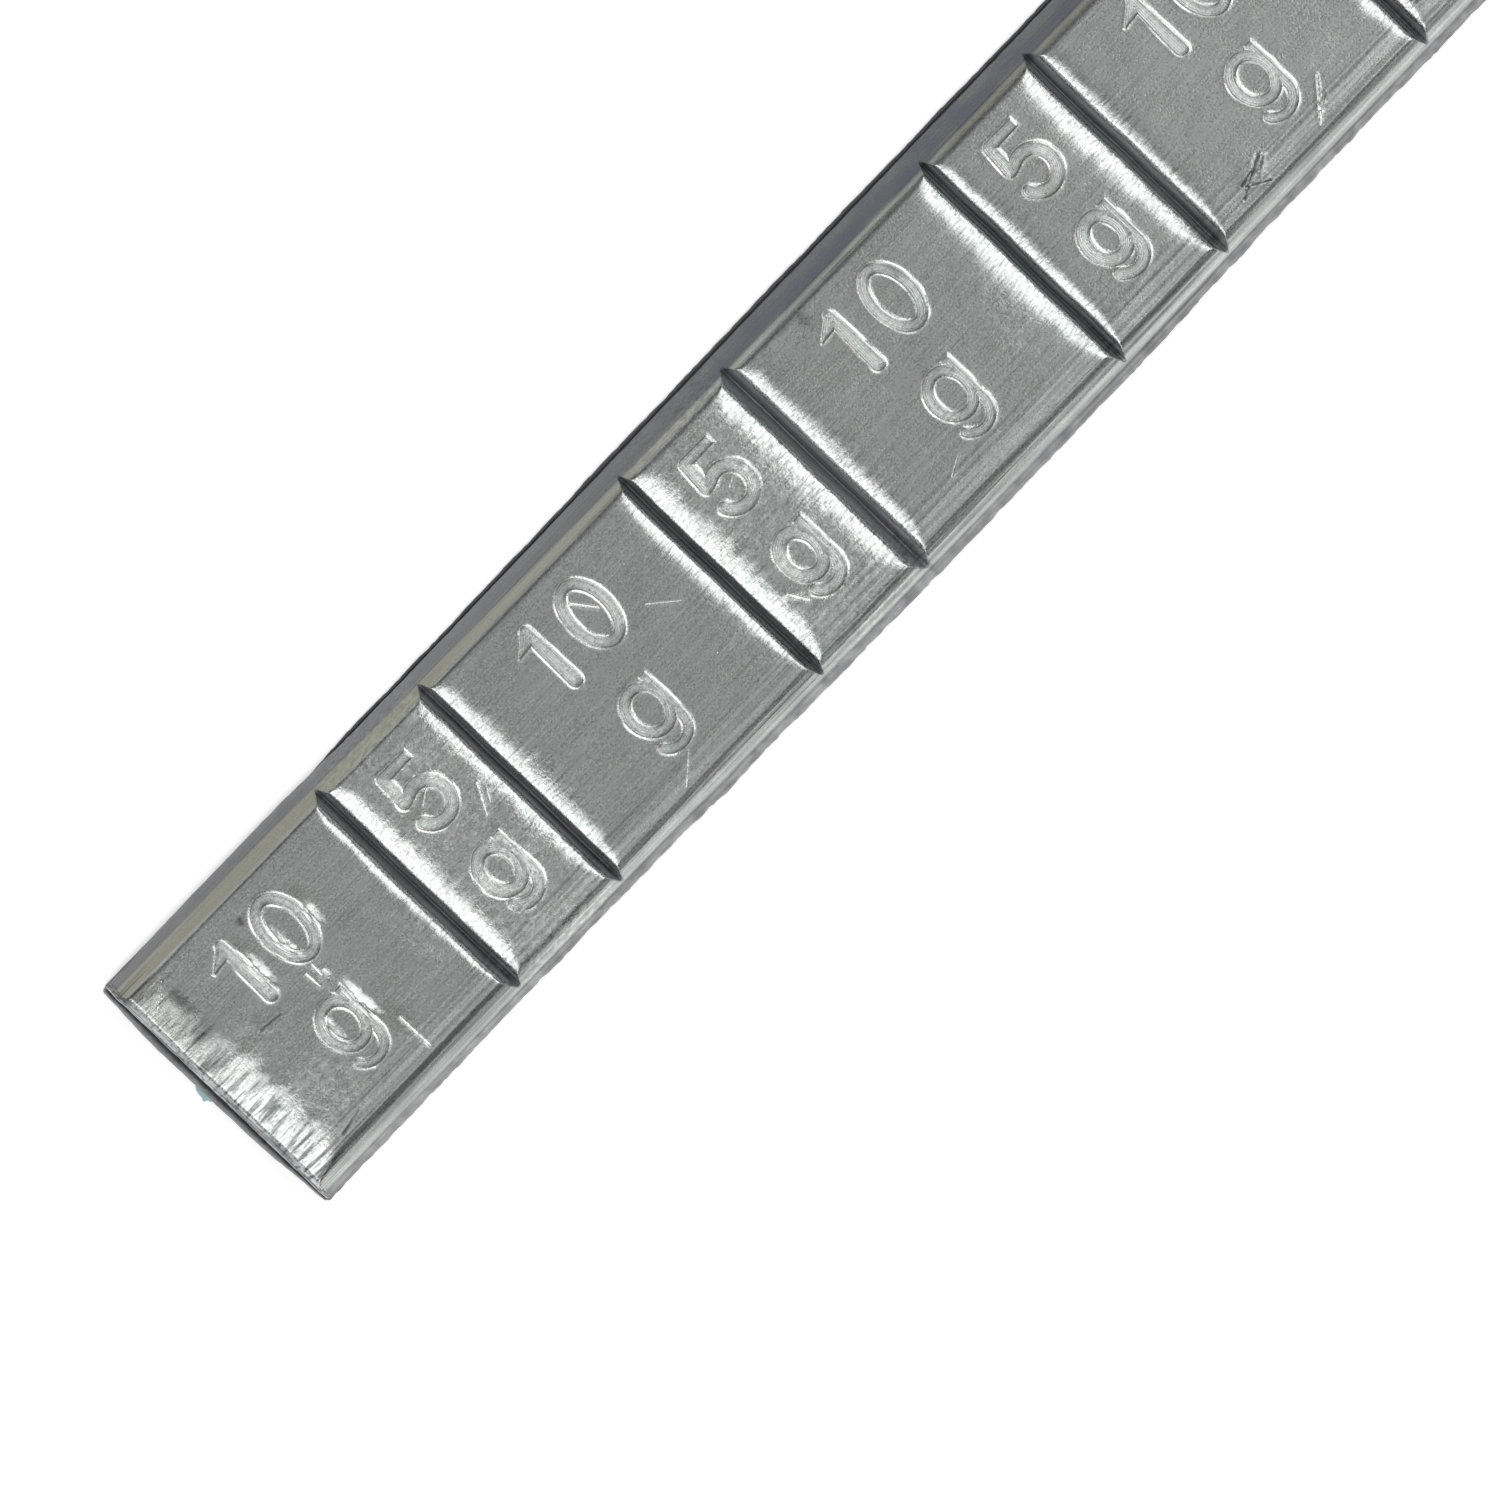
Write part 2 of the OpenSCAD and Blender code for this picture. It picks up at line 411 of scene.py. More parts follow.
# Strength of the olive stain of the +Y chamfer along the strip
OLIVE_X = (-27, -22, -8, 2, 16, 20)
OLIVE_SHARE = (1.0, 0.9, 0.8, 0.5, 0.5, 0.9)


class Strip:
    """Shape of the lead in millimetres, with z measured from its underside."""

    def __init__(self, sizes, stamp):
        self.half_length = LEAD_HIGH.x / MM
        self.half_width = LEAD_HIGH.y / MM
        self.top = (LEAD_HIGH.z - LEAD_LOW.z) / MM
        self.ledge = sizes.ledge_height / MM
        self.lower = sizes.lower_lean / MM
        self.upper = sizes.upper_lean / MM
        self.worn = sizes.worn_ledge / MM
        self.foot_spread = sizes.foot_spread / MM
        self.web = sizes.web / MM
        self.floor = sizes.groove_floor / MM / 2
        self.mark_half_widths = (stamp.half_width / MM, stamp.light_half_width / MM)
        self.mark_wall = stamp.wall / MM
        self.mark_depth = stamp.depth / MM
        self.mark_lip = stamp.lip / MM
        heavy, light = sizes.heavy_length / MM, sizes.light_length / MM
        self.lines = [-self.half_length - sizes.end_trim / MM]
        for k in range(len(GROOVES) - 1):
            self.lines.append(self.lines[-1] + (light if k % 2 else heavy))
        if abs(self.lines[-1] + self.lines[0]) > 0.05:
            raise ValueError("the weights' lengths don't add up to the CAD strip")
        self.marks = [weight_marks((self.lines[k] + self.lines[k + 1]) / 2, MARK_SHIFTS[k],
                                   heavy=k % 2 == 0) for k in range(len(MARK_SHIFTS))]

    def section(self, x, y):
        """Height of the cross-section, and how far a point is on a chamfer and below it.
        The ledge of the +Y side is worn further in along the strip, and the edge of the
        -Y side is rolled rounder."""
        inset = self.half_width - np.abs(y)
        far_side = y > 0
        wave = 0.05 * smooth_noise(x / 1.9, 4.5, 23) * smooth_step(-5, 5, x)
        worn = self.worn * (smooth_step(-50, 15, x) - 0.21) + wave
        ledge = self.lower + np.where(far_side, worn, -0.07)
        near_crease = 0.2 + np.interp(x, NEAR_EDGE_X, NEAR_EDGE_OUT)
        crease = self.lower + self.upper - np.where(
            far_side, 0.27 - 0.22 * smooth_step(-50, -15, x), near_crease)
        high = self.ledge + np.where(far_side, 1.8 * worn, 0)
        crown = np.where(far_side, *EDGE_CROWN) * np.clip(CROWN_REACH - inset, 0, None) ** 2
        lower = inset * high / ledge
        upper = high + (inset - ledge) * (self.top - high) / (crease - ledge)
        line = LEDGE_LINE[0] * np.exp(-((inset - ledge - 0.02) / LEDGE_LINE[1]) ** 2)
        height = soft_min(soft_min(lower, upper, LEDGE_ROUND), self.top - crown,
                          np.where(far_side, *EDGE_ROUND)) - line
        soft = np.where(far_side, *LEDGE_BLEND)
        below = smooth_step(ledge + soft, ledge - soft, inset)
        chamfer = (1 - below) * smooth_step(crease + 0.03, crease - 0.2, inset)
        return height, chamfer, below, inset / ledge

    def foot_out(self, x, y):
        """How far the sides have spread at their foot, with their ragged edge."""
        inset = self.half_width - np.abs(y)
        spread_far = 0.5 * smooth_step(-30, 20, x) + 0.6 * smooth_step(-30, -38, x)
        spread_near = smooth_step(-36, 6, x) * (1 - 0.6 * smooth_step(18, 30, x))
        spread_near = spread_near * 1.05 + 0.16 + 0.25 * np.exp(-((x + 17.6) / 1.5) ** 4)
        ragged = 0.05 * smooth_noise(x / 0.8, np.sign(y) * 3, 41)
        ragged = ragged + 0.035 * smooth_noise(x / 0.3, np.sign(y) * 5, 43)
        wide = self.foot_spread * np.where(y > 0, spread_far, spread_near)
        wide = wide * (1 - smooth_step(0.0, 1.5, inset))
        return wide + np.where(y > 0, 0.3, 1.0) * ragged * (1 - smooth_step(0, 0.45, inset))

    def groove_middle(self, k, y):
        return self.lines[k] + GROOVES[k][0] + 0.04 * smooth_noise(y / 2.5, k * 7.3, 11)

    def groove_mouth(self, k, y, right):
        mouth = GROOVES[k][1 + right][0]
        return mouth * (1 + 0.06 * smooth_noise(y / 1.1, k * 5.1 + right, 12))

    def groove_reach(self, k, y, right):
        reach = GROOVES[k][1 + right][1]
        ragged = 0.16 * smooth_noise(y / 0.9, k * 3.7 + right, 13)
        streaks = 0.09 * smooth_noise(y / 0.24, k * 9.1 + right, 14)
        if k > 0:
            reach = reach * (0.85 + 0.27 * np.exp(-((y - 1.3) / 4) ** 2))
        return reach * (1 + ragged + streaks)

    def notched(self, x, y):
        """Height of the side view at x, how deep in a groove that is, and on a shoulder."""
        height = np.full(x.shape, self.top)
        inside, shoulder_mask = np.zeros(x.shape), np.zeros(x.shape)
        web = self.web + 0.55 * smooth_step(7.2, 8.7, np.abs(y))
        for k in range(len(GROOVES)):
            away = x - self.groove_middle(k, y)
            for right in (False, True):
                near = (away >= 0 if right else away < 0) & (np.abs(away) < PAST_SHOULDERS)
                gap = np.abs(away[near])
                mouth = self.groove_mouth(k, y[near], right)
                reach = self.groove_reach(k, y[near], right)
                drop, power = GROOVES[k][1 + right][2:]
                # Shoulders fade out at the +Y edge, and the cut end was pressed less there
                drop = drop * (1 - 0.6 * smooth_step(6.4, 8.0, y[near]))
                if k == 0:
                    drop = drop * (0.65 + 0.35 * smooth_step(1.5, -0.5, y[near]))
                left_over = np.clip(1 - (gap - mouth) / reach, 0, None)
                shoulder = self.top - drop * left_over ** power
                lip = self.top - drop
                steep = (lip - web[near]) / (mouth - self.floor)
                flank = web[near] + (gap - self.floor) * steep
                roll = LIP_ROLL * (steep - drop * power / reach)
                cut = np.maximum(soft_min(flank, shoulder, roll), web[near])
                height[near] = np.minimum(height[near], cut)
                inside[near] = np.maximum(inside[near], smooth_step(0.05, 0.4, lip - cut))
                on = np.clip(left_over, 0, 1) * (gap > mouth)
                shoulder_mask[near] = np.maximum(shoulder_mask[near], on)
        return height, inside, shoulder_mask

    def mark_gap(self, points):
        """Distance to the nearest mark, worked out weight by weight."""
        gap = np.full(len(points), FAR)
        for k, strokes in enumerate(self.marks):
            near = (points[:, 0] > self.lines[k]) & (points[:, 0] <= self.lines[k + 1])
            gap[near] = distance_to_marks(strokes, points[near], self.mark_half_widths[k % 2])
        return gap

    def light_weight(self, x):
        """How worn each light weight is, and nought on the heavy ones."""
        light = np.zeros(x.shape)
        for k, worn in zip(range(1, len(self.lines) - 1, 2), LIGHT_WEAR):
            light += worn * (smooth_step(self.lines[k], self.lines[k] + 0.8, x)
                             * smooth_step(self.lines[k + 1], self.lines[k + 1] - 0.8, x))
        return light

    def surface(self, points):
        """Place of the lead's skin over the points, and its masks."""
        x, y = points.T
        section, chamfer, below, share = self.section(x, y)
        notch, inside, shoulder = self.notched(x, y)
        on_top = smooth_step(-0.02, 0.06, section - notch)
        uneven = 0.012 * smooth_noise(x / 3.1, y / 2.3, 21)
        uneven = uneven + 0.005 * smooth_noise(x / 0.9, y / 0.5, 22)
        height = soft_min(section, notch, 0.08) + uneven * smooth_step(0, 0.3, section)

        gap = self.mark_gap(points)
        press = 1 - smooth_step(-self.mark_wall, 0.0, gap)
        pressed = 1 - smooth_step(-self.mark_wall - 0.02, -self.mark_wall + 0.05, gap)
        deep = 1 + 0.25 * smooth_noise(x / 0.8, y / 0.8, 31)
        outside = np.clip(gap, 0, None)
        raised = smooth_step(-0.05, 0.04, gap) * np.exp(-(outside / STROKE_LIP) ** 1.6)
        ragged = 0.78 + 0.6 * smooth_noise(x / 0.8, y / 0.8, 32)
        height = height - self.mark_depth * deep * press + self.mark_lip * ragged * raised
        for middle_x, middle_y, along, across, depth in PULLS:
            near = (np.abs(x - middle_x) < 1.5 * along) & (np.abs(y - middle_y) < 1.5 * across)
            off = np.hypot((x[near] - middle_x) / along, (y[near] - middle_y) / across)
            torn = 1 + 0.35 * smooth_noise(x[near] / 0.4, y[near] / 0.3, 33)
            slope = (np.clip(1 - outside[near] / PULL_REACH, 0, None) ** 1.5
                     * np.exp(np.minimum(gap[near], 0) / 0.3))
            height[near] -= depth * torn * slope * (1 - smooth_step(0.45, 1.2, off))

        scratched, gouged = np.zeros(len(points)), np.zeros(len(points))
        for table, mask in ((SCRATCHES, scratched), (GOUGES, gouged)):
            for start, end, half_width, depth in table:
                near = np.hypot(x - start[0], y - start[1]) < PAST_SCRATCHES
                away = distance_to_stroke(scratch_stroke(start, end), points[near], half_width)
                cut = 1 - smooth_step(-half_width, half_width, away)
                lip = 0.3 * np.exp(-((away - half_width) / SCRATCH_LIP) ** 2)
                height[near] += depth * (lip - cut)
                mask[near] = np.maximum(mask[near], cut)

        light = self.light_weight(x)
        olive = chamfer * (y > 0) * np.interp(x, OLIVE_X, OLIVE_SHARE)
        # The sides take the oxide colour, partly as oxide and partly as painted shade: on +Y darker
        # toward the ledge, on -Y in speckles
        dark_side = 0.98 - 0.13 * np.clip(1 - share, 0, 1)
        pale_side = 0.8 + 0.2 * smooth_noise(x / 0.5, y / 0.25, 44)
        masks = {"groove": inside * on_top, "shoulder": shoulder * on_top,
                 "pressed": pressed, "within": np.clip(-gap, 0, 0.5),
                 "edge": np.maximum(raised * ragged, scratched),
                 "light": light, "smear": np.maximum(gouged, patches(SMEARS, x, y)),
                 "bruised": np.maximum(light * (0.7 + 0.3 * smooth_noise(x / 1.5, y / 1.5, 45)),
                                       patches(BRUISES, x, y)),
                 "olive": np.maximum(olive, patches(STAINS, x, y)),
                 # Grey oxide and painted shade on the sides below the ledge
                 "side": below * np.where(y > 0, dark_side, pale_side),
                 # Painted shade: a dark line along each ledge where side meets chamfer, fainter on
                 # -Y, and the +Y side darkened toward the far end
                 "painted_shade": np.maximum(np.where(y > 0, 1.0, 0.5) * np.exp(-((share - 1) / 0.13) ** 2),
                                     0.6 * below * (y > 0) * smooth_step(-20, 2, x)),
                 "blue": 0.6 * below * (y > 0) * smooth_step(-12, 6, x)}
        place = np.stack([x, y + np.sign(y) * self.foot_out(x, y), height], 1)
        return place, masks

    def normals(self, points, step=0.012):
        """Surface normals from the skin's slope a step along and across."""
        along, across = (self.surface(points + move)[0] - self.surface(points - move)[0]
                         for move in ((step, 0), (0, step)))
        normal = np.cross(along, across)
        return normal / np.linalg.norm(normal, axis=1)[:, None]


def patches(table, x, y):
    """Strength of the strongest patch of the table at each point."""
    strength = np.zeros(x.shape)
    for middle_x, middle_y, along, across, most in table:
        off = np.hypot((x - middle_x) / along, (y - middle_y) / across)
        strength = np.maximum(strength, most * (1 - smooth_step(0.4, 1.3, off)))
    return strength


# Points over the strip

# Distances in from the foot of the rows along the sides
SIDE_INSETS = (0, 0.07, 0.16, 0.28, 0.4, 0.48, 0.55, 0.62, 0.7, 0.79, 0.88, 0.97, 1.06, 1.15,
               1.25, 1.36, 1.48, 1.6, 1.73, 1.88, 2.05)
# Shares of a flank, and steps over a shoulder, of the rows along a groove
FLANK_SHARES = (0.0, 0.14, 0.3, 0.45, 0.6, 0.74, 0.87)
SHOULDER_STEPS = (0.0, 0.05, 0.1, 0.16, 0.23, 0.31, 0.42, 0.56, 0.74, 0.96, 1.24, 1.6, 2.05)
# Distances from a stroke's edge of the rows along it, past the ones on its wall
OUTER_LEVELS = (0.04, 0.09, 0.15, 0.23)
# Spacing of points across the top and along the sides, over the flats with every other row
# shifted, and along the strokes and the scratches
TOP_ROWS, SIDE_COLUMNS = 0.2, 0.24
FLAT_COLUMNS, FLAT_ROWS, FLAT_SHIFT = 0.27, 0.25, 0.13
STROKE_SPACING, SCRATCH_SPACING = 0.125, 0.1
# The smallest cell that keeps a point, and how close to the rim a point counts as on it
FINEST = 0.03
ON_RIM = 0.001


def side_rows(strip):
    """Rows across the strip: close together on the sides and edges, wider on the top."""
    edge = strip.half_width - np.array(SIDE_INSETS)
    top = spread(-edge[-1], edge[-1], TOP_ROWS)[1:-1]
    return np.concatenate([-edge, top, edge[::-1]])


def groove_points(strip, k, rows):
    """Points on rows along one groove and its shoulders."""
    middle = strip.groove_middle(k, rows)
    lanes = [middle]
    for right, sign in ((False, -1), (True, 1)):
        mouth = strip.groove_mouth(k, rows, right)
        lanes += [middle + sign * (strip.floor + (mouth - strip.floor) * s)
                  for s in FLANK_SHARES]
        lanes += [middle + sign * (mouth + s) for s in SHOULDER_STEPS]
    return np.concatenate([np.stack([lane, rows], 1) for lane in lanes])


def plain_points(strip, rows):
    """Points on the flat tops and the sides between the shoulders."""
    clear = SHOULDER_STEPS[-1] + 0.6

    def between(x):
        return x[[min(abs(a - g) for g in strip.lines) > clear for a in x]]

    half_length, side_width = strip.half_length, strip.half_width - SIDE_INSETS[-1]
    side_only = rows[np.abs(rows) > side_width - 0.01]
    found = [np.stack([np.full(len(side_only), x), side_only], 1)
             for x in between(spread(-half_length, half_length, SIDE_COLUMNS))]
    inner = side_width - TOP_ROWS
    columns = spread(-half_length, half_length, FLAT_COLUMNS)
    for j, y in enumerate(spread(-inner, inner, FLAT_ROWS)):
        x = between(columns + FLAT_SHIFT * (j % 2))
        found.append(np.stack([x, np.full(len(x), y)], 1))
    return np.concatenate(found)


def scratch_stroke(start, end):
    """A scratch as a stroke that thins toward its end."""
    return stroke([start, end], 1.0, 0.5)


def scratch_points():
    return np.concatenate([stroke_rows([scratch_stroke(start, end)], half_width,
                                       (0.0, half_width, 2 * half_width), SCRATCH_SPACING)
                           for start, end, half_width, _ in SCRATCHES + GOUGES])


def strip_points(strip):
    """Points over the strip, closest together where the surface turns."""
    rows = side_rows(strip)
    wall = strip.mark_wall
    levels = (-wall, -wall * 0.66, -wall * 0.33, 0.0) + OUTER_LEVELS
    lines = [stroke_rows(strokes, strip.mark_half_widths[k % 2], levels, STROKE_SPACING)
             for k, strokes in enumerate(strip.marks)]
    edges = [np.stack([np.full(len(rows), x), rows], 1)
             for x in (-strip.half_length, strip.half_length)]
    fill = np.concatenate([groove_points(strip, k, rows) for k in range(len(GROOVES))]
                          + [plain_points(strip, rows)])
    fill = fill[np.abs(fill[:, 0]) < strip.half_length - FINEST]
    fill = fill[strip.mark_gap(fill) > OUTER_LEVELS[-1] + 0.08]
    points = np.concatenate(edges + lines + [scratch_points(), fill])
    cell = np.round(points / FINEST).astype(int)
    _, first = np.unique(cell, axis=0, return_index=True)
    return points[np.sort(first)]


def triangulate(points):
    """Delaunay triangles over the points: the points as used, and the triangles."""
    made = delaunay_2d_cdt([Vector(p) for p in points], [], [], 0, 1e-6, False)
    return np.array([tuple(v) for v in made[0]]), np.array(made[2])


def rim_of(triangles):
    """Outer edges of a triangulation, in order round it."""
    edges = np.concatenate([triangles[:, [0, 1]], triangles[:, [1, 2]], triangles[:, [2, 0]]])
    keys = {tuple(e) for e in edges}
    after = {a: b for a, b in keys if (b, a) not in keys}
    rim = [next(iter(after))]
    while after[rim[-1]] != rim[0]:
        rim.append(after[rim[-1]])
    return rim


# Meshes

def new_piece(name, points, faces, material, smooth=0, masks=None):
    """A mesh object from points in millimetres, its first faces smooth, with the masks' one
    number a point for the material."""
    mesh = bpy.data.meshes.new(name)
    mesh.from_pydata((np.asarray(points) * MM).tolist(), [], faces)
    mesh.materials.append(material)
    mesh.polygons.foreach_set("use_smooth", np.arange(len(faces)) < smooth)
    for mask, values in (masks or {}).items():
        numbers = mesh.attributes.new(mask, "FLOAT", "POINT").data
        numbers.foreach_set("value", np.asarray(values, np.float32))
    mesh.update()
    piece = bpy.data.objects.new(name, mesh)
    bpy.context.scene.collection.objects.link(piece)
    return piece


def settle(piece, node):
    """Puts a piece in a CAD node's place."""
    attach(piece, "root")
    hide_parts(node)


# Rows down a cut end, as shares of its height, and the heights between which its burr grows
CUT_ROWS = (0.0, 0.08, 0.2, 0.35, 0.5, 0.65, 0.85, 1.0)
BURR_GROWS = (0.05, 0.6)


def build_lead(sizes, stamp, material):
    """The lead: its worked top and sides, the two cut ends and the flat underside."""
    strip = Strip(sizes, stamp)
    flat, triangles = triangulate(strip_points(strip))
    points, masks = strip.surface(flat)
    foot = np.abs(flat[:, 1]) > strip.half_width - ON_RIM
    at_end = np.abs(flat[:, 0]) > strip.half_length - ON_RIM
    points[foot, 2] = 0.0

    # The cut ends: sheared walls that bulge into a burr, in rows down to the underside
    rim = rim_of(triangles)
    columns, extra, walls = {}, [], []
    for v in rim:
        if not at_end[v] or foot[v]:
            columns[v] = [v] * len(CUT_ROWS)
            continue
        x, y, height = points[v]
        tear = 0.05 * smooth_noise(y / 0.35, np.sign(x), 42)
        columns[v] = [v]
        for share in CUT_ROWS[1:]:
            out = sizes.burr / MM * smooth_step(*BURR_GROWS, share) + tear * share
            columns[v].append(len(points) + len(extra))
            extra.append((x + np.sign(x) * out, y, height * (1 - share)))
    for a, b in zip(rim, rim[1:] + rim[:1]):
        if at_end[a] and at_end[b]:
            for row in range(len(CUT_ROWS) - 1):
                corners = list(dict.fromkeys([columns[a][row], columns[a][row + 1],
                                              columns[b][row + 1], columns[b][row]]))
                if len(corners) > 2:
                    walls.append(corners)
    walls.append([columns[v][-1] for v in rim][::-1])

    extra = np.array(extra)
    masks = {name: np.concatenate([values, np.zeros(len(extra))])
             for name, values in masks.items()}
    # The shear left the cut ends streaked
    masks["side"][len(points):] = 0.5 + 0.4 * smooth_noise(extra[:, 1] / 1.5, extra[:, 2] / 0.3,
                                                           46)
    points = np.concatenate([points, extra]) + (0, 0, LEAD_LOW.z / MM)
    piece = new_piece("lead_strip", points, triangles.tolist() + walls, material,
                      smooth=len(triangles), masks=masks)
    facing = np.array([tuple(face.normal) for face in piece.data.polygons[len(triangles):]])
    facing = np.repeat(facing, [len(wall) for wall in walls], axis=0)
    loops = np.concatenate([strip.normals(flat)[triangles.ravel()], facing])
    piece.data.normals_split_custom_set(loops.tolist())
    settle(piece, "weight_strip")


def rim_line(half_length, half_width, corner, spacing):
    """Points round a rectangle with rounded corners, and the way out at each."""
    points, outward = [], []
    centres = ((1, 1), (-1, 1), (-1, -1), (1, -1))
    reach = np.array([half_length - corner, half_width - corner])
    for k, centre in enumerate(centres):
        turns = np.radians(np.linspace(90 * k, 90 * k + 90, 6))
        spokes = np.stack([np.cos(turns), np.sin(turns)], 1)
        points += list(centre * reach + corner * spokes)
        outward += list(spokes)
        goal = centres[(k + 1) % 4] * reach + corner * spokes[-1]
        run = spread(0, 1, spacing / np.hypot(*(goal - points[-1])))[1:-1]
        points += list(points[-1] + run[:, None] * (goal - points[-1]))
        outward += [spokes[-1]] * len(run)
    return np.array(points), np.array(outward)


def stacked(count, rows):
    """Faces over rows of count points each, one above another, and closed at both ends."""
    faces = [[r * count + k, r * count + (k + 1) % count, (r + 1) * count + (k + 1) % count,
              (r + 1) * count + k] for r in range(rows - 1) for k in range(count)]
    return faces + [list(range(count))[::-1], list(range((rows - 1) * count, rows * count))]


# Rounding of the corners of the foam and the film
CORNER = 0.3
# The foam's edge from the film up to the lead, as places out and shares of its height: where it
# stands out past the lead, which has pressed a crease into it, and where it is cut plain
CREASED_EDGE = ((1.0, 0.0), (1.0, 0.08), (1.0, 0.3), (0.96, 0.45), (0.85, 0.56), (0.6, 0.6),
                (0.4, 0.55), (0.2, 0.42), (0.0, 0.35), (-0.25, 0.6), (-0.6, 1.0))
PLAIN_EDGE = ((0.96, 0.0), (1.0, 0.08), (1.0, 0.25), (0.97, 0.4), (0.95, 0.55), (0.95, 0.7),
              (0.95, 0.8), (0.95, 0.88), (0.95, 0.95), (0.9, 1.0), (-0.6, 1.0))
# How far in the foam's flat top starts
TOP_INSET = 2.0


def build_tape(sizes, material):
    """Foam tape: a slab whose edge has crept out round the lead at one end and one side."""
    half_length, half_width = TAPE_HIGH.x / MM, TAPE_HIGH.y / MM
    low, high = TAPE_LOW.z / MM, TAPE_HIGH.z / MM
    line, outward = rim_line(half_length, half_width, CORNER, 0.2)
    x, y = line.T
    far_side = y > 0
    by_end = outward[:, 0] ** 2
    skew = y / half_width
    end_creep = np.where(x < 0, sizes.end_creep / MM * (1 + 0.22 * skew - 0.85 * skew ** 2), -0.1)
    side_creep = (sizes.side_creep / MM * smooth_step(-35, 15, x)
                  - sizes.hidden / MM * smooth_step(-30, -38, x))
    side_creep = np.where(far_side, side_creep, -sizes.tuck / MM)
    edge = by_end * end_creep + (1 - by_end) * side_creep
    edge = edge + sizes.waver / MM * smooth_noise(x / 1.7, y / 1.7, 51)
    foot_out = (0.16 * smooth_step(-30, 20, x) + 0.2 * smooth_step(-30, -38, x)) * (1 - by_end)
    lead_foot = (LEAD_HIGH.y - TAPE_HIGH.y) / MM + foot_out
    proud = np.where(far_side | (x < 1 - half_length), smooth_step(0, 0.12, edge - lead_foot), 0)
    crease = np.minimum(lead_foot, edge - 0.25)
    rows, rubbed = [], []
    for (out, share), (plain_out, plain_share) in zip(CREASED_EDGE, PLAIN_EDGE):
        out = plain_out + (out - plain_out) * proud
        share = plain_share + (share - plain_share) * proud
        fine = 0.03 * smooth_noise(x / 0.35 + y / 0.35, share * 4, 52) * (out > 0.1)
        move = crease + np.where(out > 0, out * (edge - crease), 0.5 * out) + fine
        rows.append(np.column_stack([line + outward * move[:, None], low + share * (high - low)]))
        rubbed.append(by_end * (x < 0) * smooth_step(0.25, 0.5, out))
    inner = line * (1 - TOP_INSET / half_length, 1 - TOP_INSET / half_width)
    rows.append(np.column_stack([inner, np.full(len(line), high)]))
    rubbed.append(np.zeros(len(line)))
    faces = stacked(len(line), len(rows))
    piece = new_piece("tape", np.concatenate(rows), faces, material, smooth=len(faces) - 2,
                      masks={"rubbed": np.concatenate(rubbed)})
    settle(piece, "foam_tape")


def build_liner(sizes, material):
    """Release liner: a thin film, with a torn scrap of it at the cut end."""
    inset = sizes.film_inset / MM
    half_length, half_width = TAPE_HIGH.x / MM - inset, TAPE_HIGH.y / MM - inset
    line, _ = rim_line(half_length, half_width, CORNER, 0.5)
    scrap_reach = -half_length - (LINER_LOW.x / MM - 0.3)
    scrap_y, scrap_half = 0.58, 0.8
    kept = ~((line[:, 0] < 0.02 - half_length) & (np.abs(line[:, 1] - scrap_y) < scrap_half + 0.1))
    turn = np.radians(np.linspace(90, 270, 33))
    torn = 1 + 0.1 * smooth_noise(turn * 4, 0, 61)
    scrap = np.stack([-half_length + scrap_reach * np.cos(turn) * torn,
                      scrap_y + scrap_half * np.sin(turn) * torn], 1)
    first = int(np.nonzero(~kept)[0][0])
    line = line[kept]
    line = np.concatenate([line[:first], scrap, line[first:]])
    points = np.concatenate([np.column_stack([line, np.full(len(line), z / MM)])
                             for z in (LINER_LOW.z, LINER_HIGH.z)])
    settle(new_piece("liner", points, stacked(len(line), 2), material), "release_liner")


# Materials

def node(tree, kind, inputs=None, **settings):
    """Adds a shader node: its settings, then each input as a value or as the socket that feeds
    it. Gives the node's outputs."""
    made = tree.nodes.new("ShaderNode" + kind)
    for name, value in settings.items():
        setattr(made, name, value)
    for name, value in (inputs or {}).items():
        if isinstance(value, bpy.types.NodeSocket):
            tree.links.new(value, made.inputs[name])
        else:
            made.inputs[name].default_value = value
    return made.outputs


# Sockets of the Mix node when it mixes colours
MIX_A, MIX_B, MIX_OUT = 6, 7, 2


def new_material(name):
    """A material with an empty node tree, and that tree."""
    material = bpy.data.materials.new(name)
    material.use_nodes = True
    material.node_tree.nodes.clear()
    return material, material.node_tree


def opaque(rgb):
    return (*rgb, 1.0)


# Patterns of the lead's skin: how many bumps a millimetre along, across and up, and the noise's
# detail and roughness
LEAD_PATTERNS = {
    # Roll lines, 0.14 mm apart and some 8 mm long
    "lines": ((0.12, 7, 7), 3, 0.6),
    # Deeper lines that one roll left along the -Y edge, 0.3 mm apart
    "furrows": ((0.06, 3.6, 1.5), 2, 0.5),
    # Draw lines down the grooves, 0.1 mm apart
    "drawn": ((10, 0.3, 2), 2, 0.5),
    # Grain of the rolled skin, in truth some 0.03 mm, drawn 0.12 mm wide so that it shows
    "grain": ((8, 8, 8), 2, 0.6),
    # Cloudy dulling, some 2 mm across, and a fainter tint, some 5 mm across
    "clouds": ((0.45, 0.45, 0.45), 5, 0.6),
    "tints": ((0.2, 0.2, 0.2), 4, 0.7),
    # Small dents of the bruised skin, some 0.4 mm across
    "dents": ((2.4, 2.4, 2.4), 4, 0.65),
}
# Spacing of the lines that the ground die left along the strokes, in millimetres
DIE_LINES = 0.12
LEAD_MASKS = ("groove", "shoulder", "pressed", "within", "edge", "light", "smear", "bruised",
              "olive", "side", "painted_shade", "blue")
# Masks made from a pattern or a place: where each starts and ends, and its strength there
LEAD_RANGES = {
    "dull": ("clouds", 0.35, 0.65, 0, 1),
    "tinted": ("tints", 0.5, 0.7, 0, 0.4),
    "patchy": ("clouds", 0.42, 0.6, 0.15, 1),
    "near_edge": ("y", -5.4 * MM, -6.1 * MM, 0, 1),
    "near_cut": ("x", -48.8 * MM, -49.8 * MM, 0, 1),
    "at_cut": ("x", -51.35 * MM, -51.5 * MM, 0, 1),
}
